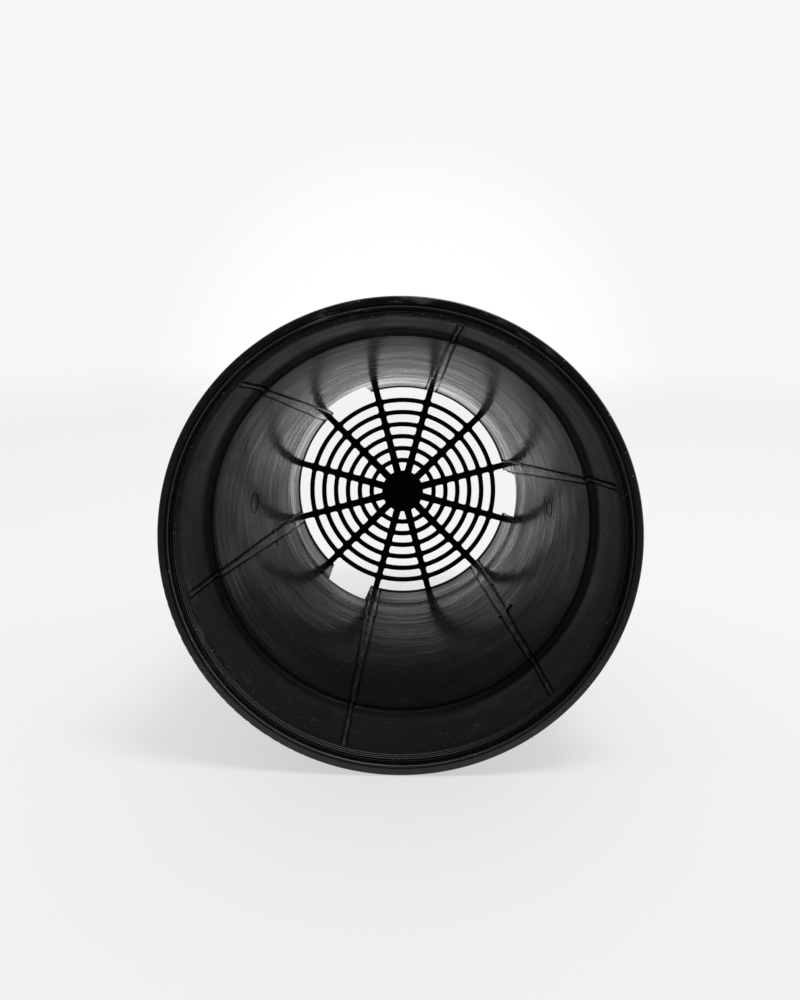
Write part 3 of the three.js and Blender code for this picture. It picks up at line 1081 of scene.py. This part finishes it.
    def build(self) -> None:
        """Builds the wall's stretches from the bottom up."""
        form, marks = self.form, MouldMarks(self.form)
        base = finished("base_wall", self.base_ring())
        dress(base, FOOT_FINISH, "foot_arc_1", "foot_arc_2", "foot_arc_3", "base_band")
        WallStretch(form, "tapered_wall", "lower_wall", WALL_FINISH, *self.tapered()).build(marks)
        WallStretch(form, "shoulder", "shoulder_ring", BAND_FINISH, *self.shoulder()).build()
        WallStretch(form, "upper_band", "upper_wall", BAND_FINISH, *self.upper()).build()


@dataclass(frozen=True)
class PotRim:
    """The stacking ring, the mouth, the land of the rim and the skirt outside."""

    form: PotForm
    steps: int = 480
    skirt_length: float = 9 * MM
    skirt_wall: float = 0.9 * MM
    skirt_draft: float = 0.4 * MM
    thickness: float = 1.5 * MM
    corner: float = 0.5 * MM
    ledge_drop: float = 0.43 * MM
    step_width: float = 0.45 * MM
    joint: float = 1 * MM  # how far the stacking ring goes up the mouth's wall
    bevel: float = 0.08 * MM
    rounding: float = 0.7 * MM  # of the mouth's upper edge
    witness_radius: float = 72.55 * MM  # the fine groove in the land where two parts of the mould meet
    witness_depth: float = 0.35 * MM
    witness_width: float = 0.34 * MM
    face_line: float = 0.04 * MM  # depth of the turned line round the mouth
    face_shade: float = 0.7  # painted shade: how much darker the mouth's wall is painted
    full_fold: float = math.radians(60)  # an inward fold by this angle is painted in full shade
    # The trimmed edge: the bearing of its middle, and how far it reaches to each side
    trimmed: tuple[float, float] = (math.radians(218), math.radians(32))
    nick_pitch: float = 1.3 * MM
    nick_depth: float = 0.45 * MM

    def stacking_profile(self) -> list[Point]:
        """The stacking ring and the foot of the mouth's wall.

        Returns:
            Their profile.
        """
        form = self.form
        ledge = form.height - form.mouth_depth
        top = ledge + self.joint
        drop, step = self.ledge_drop, self.step_width
        return [
            (form.upper_top_radius, form.stacking_bottom),
            (form.upper_top_radius + form.wall, form.stacking_bottom),
            (form.mouth_at(ledge) + form.wall, form.stacking_bottom + form.wall / 2),
            (form.mouth_at(top) + form.wall, top),
            (form.mouth_at(top), top),
            (form.mouth_at(ledge), ledge + self.bevel),
            (form.mouth_at(ledge) - self.bevel, ledge),
            *self.tread(form.ledge_radius, ledge, drop),
            *self.tread(form.ledge_radius - step, ledge - drop, drop),
            *self.tread(form.ledge_radius - 2 * step, ledge - 2 * drop, drop / 2),
        ]

    def tread(self, radius: float, level: float, drop: float) -> list[Point]:
        """The edge of one small step, with its corner taken off, and the foot of its face."""
        return [(radius + self.bevel, level), (radius, level - self.bevel), (radius, level - drop)]

    def collar_profile(self) -> list[Point]:
        """The mouth's wall, the land and the skirt.

        Returns:
            Their profile.
        """
        form = self.form
        bottom = form.height - form.mouth_depth + self.joint
        under = form.height - self.thickness
        foot = form.height - self.skirt_length
        corner = form.height - self.corner
        shoulder = form.height - self.rounding
        line = (shoulder + bottom) / 2
        reach = 2 * self.face_line
        outside = form.rim_radius - self.skirt_draft
        return [
            (form.mouth_at(bottom), bottom),
            (form.mouth_at(bottom) + form.wall, bottom),
            (form.mouth_at(under) + form.wall, under),
            (form.rim_radius - self.skirt_wall, under),
            (outside - self.skirt_wall, foot),
            (outside, foot),
            *arc((form.rim_radius - self.corner, corner), self.corner, 0, 0.25),
            (self.witness_radius + self.witness_width / 2, form.height),
            (self.witness_radius, form.height - self.witness_depth),
            (self.witness_radius - self.witness_width / 2, form.height),
            *arc((form.mouth_at(shoulder) + self.rounding, shoulder), self.rounding, 0.25, 0.5),
            (form.mouth_at(line + reach), line + reach),
            (form.mouth_at(line) + self.face_line, line),
            (form.mouth_at(line - reach), line - reach),
        ]

    def trim_edge(self, mesh: BMesh) -> None:
        """Roughens the part of the outer edge that a knife has trimmed.

        Args:
            mesh: the turned ring.
        """
        for vert in mesh.verts:
            radius = radius_of(vert.co)
            if min(radius - self.form.rim_radius, vert.co.z - self.form.height) < -self.corner:
                continue
            bearing = math.atan2(vert.co.y, vert.co.x) % TURN
            share = max(0.0, 1 - abs(bearing - self.trimmed[0]) / self.trimmed[1])
            nick = noise.noise(Vector((bearing * radius / self.nick_pitch, 0, 0)))
            vert.co.xy *= 1 - self.nick_depth * min(1.0, 2 * share) * max(0.0, nick + 0.1) / radius

    def on_face(self, point: Point) -> bool:
        """Whether a point of a profile lies on the face of the mouth's wall.

        Args:
            point: the point, as radius and height.

        Returns:
            True on the face, between its foot and its rounded top.
        """
        form, depth = self.form, self.form.height - point[1]
        in_mouth = point[0] < form.mouth_radius + form.wall / 2
        return in_mouth and self.rounding / 2 < depth < form.mouth_depth

    def mark_folds(self, mesh: BMesh, profile: list[Point]) -> None:
        """Writes how sharply the surface folds inwards along each ring, as painted shade for the finish,
        and paints shade on the mouth's face too.

        Args:
            mesh: the turned mesh.
            profile: the profile that it was turned from.
        """
        corners = list(zip(profile[-1:] + profile[:-1], profile, profile[1:] + profile[:1]))
        area = sum(at[0] * after[1] - at[1] * after[0] for _, at, after in corners)
        folds = {}
        for before, at, after in corners:
            first, second = Vector(at) - Vector(before), Vector(after) - Vector(at)
            turn = math.atan2(first.cross(second), first.dot(second))
            folds[at] = min(1.0, abs(turn) / self.full_fold) if turn * area < 0 else 0.0
            if self.on_face(at):
                folds[at] = max(folds[at], self.face_shade)
        # painted shade: the inward folds and the mouth's face are painted darker through this attribute
        painted_recess_shade = mesh.verts.layers.float.new("painted_recess_shade")
        for vert in mesh.verts:
            spot = (radius_of(vert.co), vert.co.z)
            vert[painted_recess_shade] = folds[min(profile, key=lambda point: math.dist(point, spot))]

    def build(self) -> None:
        """Builds the two rings."""
        for name, node, profile in (
            ("stacking_beads", "stacking_ring", self.stacking_profile()),
            ("rim", "rim_collar", self.collar_profile()),
        ):
            mesh = bmesh.new()
            turn_about_axis(mesh, profile, self.steps)
            self.mark_folds(mesh, profile)
            self.trim_edge(mesh)
            dress(finished(name, mesh), RIM_FINISH, node)


@dataclass(frozen=True)
class DrainWeb:
    """The web of the base: spokes and ring bars round a hub, and the foot under its edge."""

    form: PotForm
    notches: Notches
    spokes: int = 12
    steps: int = 18  # lines of the mesh from one spoke to the next
    rings: int = 6
    hub_radius: float = 10.1 * MM
    first_ring: float = 16.35 * MM  # outside of the innermost ring bar
    bar: float = 2.2 * MM
    ledge: float = 0.3 * MM
    outer_opening: float = 5.2 * MM
    least_opening: float = (1.4 * MM) ** 2  # a smaller face isn't an opening
    spoke_root: float = 3.6 * MM
    spoke_tip: float = 2.95 * MM
    corner: float = 0.9 * MM
    hub_corner: float = 0.63 * MM
    notch_corner: float = 0.405 * MM
    foot_depth: float = 0.5 * MM
    foot_width: float = 1.2 * MM
    foot_setback: float = 0.15 * MM
    foot_edge: float = 0.15 * MM
    foot_sink: float = 0.2 * MM  # how far its ring reaches up into the web
    edge: float = 0.18 * MM  # rounding of the openings' edges
    sharp: float = math.radians(60)  # from this angle between its faces an edge of the openings is rounded

    def rows(self) -> list[Point]:
        """The rows of openings, from the hub outwards.

        Returns:
            Inner and outer radius of each row.
        """
        rim = self.form.base_radius - self.ledge
        last = rim - self.outer_opening
        pitch = (last - self.first_ring) / (self.rings - 1)
        outside = [self.first_ring + i * pitch for i in range(self.rings)]
        return list(zip([self.hub_radius, *outside], [*[r - self.bar for r in outside], rim]))

    def half_spoke(self, radius: float) -> float:
        """Half the angle that a spoke takes.

        Args:
            radius: the distance from the axis.

        Returns:
            The angle there.
        """
        reach = self.rows()[-1][0] - self.hub_radius
        share = min(1.0, max(0.0, (radius - self.hub_radius) / reach))
        width = self.spoke_tip + (self.spoke_root - self.spoke_tip) * (1 - share) ** 2
        return math.asin(min(1.0, width / 2 / max(radius, width)))

    def settle(self, point: Vector) -> Vector:
        """Moves a point of an evenly turned sheet so that the lines follow the spokes.

        Args:
            point: the point, on one of the evenly spaced lines.

        Returns:
            Its new place.
        """
        radius, sector = radius_of(point), TURN / self.spokes
        if radius < self.hub_radius / 2:
            return point
        spoke, line = line_at(point, self.spokes, self.steps)
        half, gap = self.half_spoke(radius), self.steps - 2
        angle = half * (line - 1) if line <= 2 else half + (line - 2) / gap * (sector - 2 * half)
        return polar(radius, (spoke - 0.5) * sector + angle, point.z)

    def is_opening(self, face: BMFace) -> bool:
        """Whether a face of the sheet lies in an opening.

        Args:
            face: the face.

        Returns:
            True in an opening between the spokes, or in a notch of the wall.
        """
        centre = face.calc_center_median()
        radius = radius_of(centre)
        if radius > self.rows()[-1][1]:
            return self.notches.holds(centre)
        if not any(inner < radius < outer for inner, outer in self.rows()):
            return False
        sector = TURN / self.spokes
        off_spoke = abs((math.atan2(centre.y, centre.x) / sector) % 1 - 0.5) * sector
        return off_spoke > self.half_spoke(radius)

    def sheet(self) -> BMesh:
        """The web as a flat sheet with its openings, at the web's upper level.

        Returns:
            The mesh in work.
        """
        mesh = bmesh.new()
        outside = self.form.base_radius + self.form.wall
        radii = sorted({0.0, outside, *[r for row in self.rows() for r in row]})
        profile = [(radius, self.form.web_top) for radius in radii]
        turn_about_axis(mesh, profile, self.spokes * self.steps, closed=False)
        bmesh.ops.remove_doubles(mesh, verts=mesh.verts, dist=DOUBLE)
        for vert in mesh.verts:
            vert.co = self.settle(vert.co)
        self.cut_at_notches(mesh)
        openings = [face for face in mesh.faces if self.is_opening(face)]
        bmesh.ops.dissolve_faces(mesh, faces=openings, use_verts=False)
        self.round_corners(mesh)
        gone = [
            face for face in mesh.faces
            if face.calc_area() > self.least_opening and self.is_opening(face)
        ]
        bmesh.ops.delete(mesh, geom=gone, context="FACES")
        return mesh

    def round_corners(self, mesh: BMesh) -> None:
        """Rounds the corners of the openings while each is still one face.

        Args:
            mesh: the sheet.
        """
        inner_end = self.rows()[0][1] + self.bar / 2
        outer_end = self.rows()[-1][1]
        corners: dict[float, set[BMVert]] = {
            size: set() for size in (self.corner, self.hub_corner, self.notch_corner)
        }
        for face in [face for face in mesh.faces if self.is_opening(face)]:
            for loop in face.loops:
                radius = radius_of(loop.vert.co)
                if loop.calc_angle() > CORNER or loop.vert.is_boundary:
                    continue
                beside = {vert for link in loop.vert.link_faces for vert in link.verts}
                notched = abs(radius - outer_end) < NEAR and any(vert.is_boundary for vert in beside)
                outer = self.notch_corner if notched else self.corner
                corners[self.hub_corner if radius < inner_end else outer].add(loop.vert)
        for size, verts in corners.items():
            bevel(mesh, list(verts), size, 3, "VERTICES")

    def cut_at_notches(self, mesh: BMesh) -> None:
        """Draws the sides of the notches on the outer edge of a mesh.

        Args:
            mesh: the sheet of the web, or the foot's ring.
        """
        inside = self.rows()[-1][1] - 0.01 * MM
        for ahead, aside in self.notches.ways():
            for point, normal in self.notches.sides(aside):
                centres = {face: face.calc_center_median() for face in mesh.faces}
                near = [
                    face for face, centre in centres.items()
                    if centre.dot(ahead) > 0 and radius_of(centre) > inside
                ]
                slice_faces(mesh, near, point, normal)

    def foot(self) -> BMesh:
        """The ring that the pot stands on, in three arcs between the notches.

        Returns:
            The mesh in work.
        """
        outside = self.form.base_radius + self.form.wall - self.foot_setback
        inside = outside - self.foot_width
        top, edge = self.foot_depth + self.foot_sink, self.foot_edge
        profile = [
            (inside, edge), (inside + edge, 0), (outside - edge, 0),
            (outside, edge), (outside, top), (inside, top),
        ]
        mesh = bmesh.new()
        turn_about_axis(mesh, profile, self.spokes * self.steps)
        self.cut_at_notches(mesh)
        gone = [face for face in mesh.faces if self.notches.holds(face.calc_center_median())]
        bmesh.ops.delete(mesh, geom=gone, context="FACES")
        bmesh.ops.holes_fill(mesh, edges=mesh.edges, sides=len(profile))
        return mesh

    def build(self) -> None:
        """Gives the sheet its thickness, rounds its edges, adds the foot and dresses the web."""
        mesh = self.sheet()
        bmesh.ops.recalc_face_normals(mesh, faces=mesh.faces)
        if mesh.faces[0].normal.z < 0:
            bmesh.ops.reverse_faces(mesh, faces=mesh.faces)
        bmesh.ops.solidify(mesh, geom=mesh.faces[:], thickness=self.form.web_top - self.foot_depth)
        level = [edge for edge in mesh.edges if abs(edge.verts[0].co.z - edge.verts[1].co.z) < SAME]
        bevel(mesh, [edge for edge in level if edge.calc_face_angle(0) > self.sharp], self.edge)
        foot = mesh_data("foot", self.foot())
        mesh.from_mesh(foot)
        bpy.data.meshes.remove(foot)
        dress(finished("drain_web", mesh), WEB_FINISH, "drain_grille")


# The stage


@dataclass(frozen=True)
class Studio:
    """A white sweep, a soft lamp and the camera, set round the pot as it lies on its side."""

    form: PotForm
    camera_place: tuple[float, float, float] = (0.00186, 0.04429, 0.37827)
    clip: tuple[float, float] = (0.01, 50.0)
    camera_right: tuple[float, float, float] = (0.9999, 0.0071, -0.0092)
    camera_up: tuple[float, float, float] = (-0.0083, 0.9917, -0.1283)
    sensor: float = 36.0
    focal_pixels: float = 770.0
    long_side: float = 1000.0
    floor_reach: float = 3.0
    floor_gap: float = 0.2 * MM
    floor_white: float = 0.86  # for the light that it throws on the pot
    floor_seen: float = 0.42  # for the shadows that are seen on it
    floor_fade: tuple[float, float] = (0.4, 1.1)
    mirrored_fade: tuple[float, float] = (0.1, 0.6)  # where the pot mirrors it, in front of the base
    floor_lift: float = 0.57
    floor_gleam: float = 0.85  # where the pot mirrors it, behind the base
    behind_base: tuple[float, float] = (0.0, -0.1)  # levels between which the floor lies behind the base
    # The light of the surroundings: two cosines with the way to the camera, and how bright it is at each
    seen_light: tuple[float, ...] = (-0.94, -0.985, 0.92, 1.0)
    thrown_light: tuple[float, ...] = (-0.2, 0.5, 1.0, 0.12)
    mirrored_backdrop: tuple[float, ...] = (-0.83, -0.875, 0.3, 1.25)
    mirrored_half: tuple[float, ...] = (-0.5, 0.5, 1.25, 0.0)
    mirrored_camera: tuple[float, ...] = (0.86, 0.97, 0.3, 0.03)
    # The window, which is mirrored too: the way to its middle, its brightness by the cosine with that way,
    # and the cosines with the way to the camera between which it begins and ends
    window_way: tuple[float, float, float] = (0.5, 0.85, 0.15)
    window_light: tuple[float, ...] = (0.1, 0.9, 0.5, 3.0)
    window_start: tuple[float, float] = (0.0, 0.15)
    window_end: tuple[float, float] = (0.8, 0.5)
    lamp_place: tuple[float, float, float] = (0.25, 1.0, 0.35)
    lamp_size: tuple[float, float] = (0.4, 0.2)
    lamp_power: float = 3.5

    def camera(self) -> None:
        """Sets the camera that looks into the pot's mouth."""
        data = bpy.data.cameras.new("camera")
        data.sensor_width = self.sensor
        data.lens = self.focal_pixels * self.sensor / self.long_side
        data.clip_start, data.clip_end = self.clip
        camera = placed("camera", data)
        right, up = Vector(self.camera_right).normalized(), Vector(self.camera_up)
        up = (up - right * up.dot(right)).normalized()
        turn = Matrix((right, up, right.cross(up))).transposed()
        camera.matrix_world = Matrix.Translation(self.camera_place) @ turn.to_4x4()
        bpy.context.scene.camera = camera

    def floor(self) -> None:
        """Sets the floor, which the lying pot touches with its rim and its base."""
        slope = math.atan2(self.form.rim_radius - self.form.base_radius - self.form.wall, self.form.height)
        normal = Vector((0, math.cos(slope), math.sin(slope)))
        touch = Vector((0, -self.form.rim_radius, self.form.height))
        turn = Vector((0, 0, 1)).rotation_difference(normal).to_matrix()
        mesh = bmesh.new()
        bmesh.ops.create_grid(mesh, x_segments=1, y_segments=1, size=self.floor_reach)
        bmesh.ops.rotate(mesh, verts=mesh.verts, matrix=turn)
        bmesh.ops.translate(mesh, verts=mesh.verts, vec=normal * (touch.dot(normal) - self.floor_gap))
        floor = placed("floor", mesh_data("floor", mesh))
        floor.data.materials.append(self.floor_material())

    def floor_material(self) -> bpy.types.Material:
        """The white floor, which fades into the background and is clear when it is looked at from below.

        What is seen of it is lifted to white, and its shadows stay.

        Returns:
            The material.
        """
        material = bpy.data.materials.new("floor")
        graph = Graph(material)
        place = graph.node("TexCoord").outputs["Object"]
        away = graph.node("VectorMath", {0: place}, operation="LENGTH").outputs["Value"]
        behind = graph.step(graph.node("SeparateXYZ", {0: place}).outputs[2], *self.behind_base)
        path = graph.node("LightPath").outputs
        mirrored = path["Is Glossy Ray"]
        mirrored_behind = graph.times(mirrored, behind)
        before = graph.minus(mirrored, mirrored_behind)
        far = graph.blend(before, graph.step(away, *self.floor_fade), graph.step(away, *self.mirrored_fade))
        lift = graph.blend(mirrored_behind, self.floor_lift, self.floor_gleam)
        lifted = graph.node("AddShader", {
            0: graph.node("BsdfDiffuse", {"Color": (*[self.floor_seen] * 3, 1)}).outputs[0],
            1: graph.node("Emission", {"Strength": lift}).outputs[0],
        })
        white = graph.node("BsdfDiffuse", {"Color": (*[self.floor_white] * 3, 1)})
        seen = graph.most(path["Is Camera Ray"], mirrored, path["Is Transmission Ray"])
        shown = graph.node("MixShader", {0: seen, 1: white.outputs[0], 2: lifted.outputs[0]})
        hidden = graph.most(graph.node("NewGeometry").outputs["Backfacing"], far)
        clear = graph.node("BsdfTransparent")
        mixed = graph.node("MixShader", {0: hidden, 1: shown.outputs[0], 2: clear.outputs[0]})
        graph.node("OutputMaterial", {"Surface": mixed.outputs[0]})
        return material

    def surroundings(self) -> None:
        """Sets the white surroundings: whitest behind the pot, and dark about the camera in reflections."""
        world = bpy.data.worlds.new("white")
        bpy.context.scene.world = world
        graph = Graph(world)
        path = graph.node("LightPath").outputs
        direction = graph.node("TexCoord").outputs["Generated"]
        towards = graph.node("SeparateXYZ", {0: direction}).outputs[2]
        facing = graph.node("VectorMath", {0: direction, 1: self.window_way}, operation="DOT_PRODUCT")
        window = graph.times(
            graph.step(facing.outputs["Value"], *self.window_light),
            graph.step(towards, *self.window_start),
            graph.step(towards, *self.window_end),
        )
        room = graph.step(towards, *self.mirrored_camera)
        backdrop = graph.step(towards, *self.mirrored_backdrop)
        reflected = graph.math("MINIMUM", backdrop, graph.step(towards, *self.mirrored_half))
        light = graph.step(towards, *self.thrown_light)
        shown = graph.most(path["Is Camera Ray"], path["Is Transmission Ray"])
        strength = graph.blend(shown, light, graph.step(towards, *self.seen_light))
        strength = graph.blend(path["Is Glossy Ray"], strength, graph.most(reflected, room, window))
        shade = graph.node("Background", {"Color": (1, 1, 1, 1), "Strength": strength})
        graph.node("OutputWorld", {"Surface": shade.outputs[0]})

    def lamp(self) -> None:
        """Hangs a soft lamp over the pot, a little on the camera's side."""
        data = bpy.data.lights.new("overhead", "AREA")
        data.shape = "RECTANGLE"
        data.size, data.size_y = self.lamp_size
        data.energy = self.lamp_power
        place = Vector(self.lamp_place)
        turn = place.to_track_quat("Z", "Y").to_matrix().to_4x4()
        placed("overhead", data).matrix_world = Matrix.Translation(place) @ turn

    def build(self) -> None:
        """Builds the stage."""
        self.camera()
        self.floor()
        self.surroundings()
        self.lamp()
        bpy.context.scene.view_settings.view_transform = "Standard"


def main() -> None:
    """Builds the pot and its stage."""
    logging.basicConfig(level=logging.INFO, format="%(name)s: %(message)s")
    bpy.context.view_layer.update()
    form = PotForm.from_frame()
    notches = Notches(top=form.notch_top, foot=form.web_top)
    Studio(form).build()
    DrainWeb(form, notches).build()
    PotWall(form, notches).build()
    PotRim(form).build()


if __name__ == "__main__":
    main()
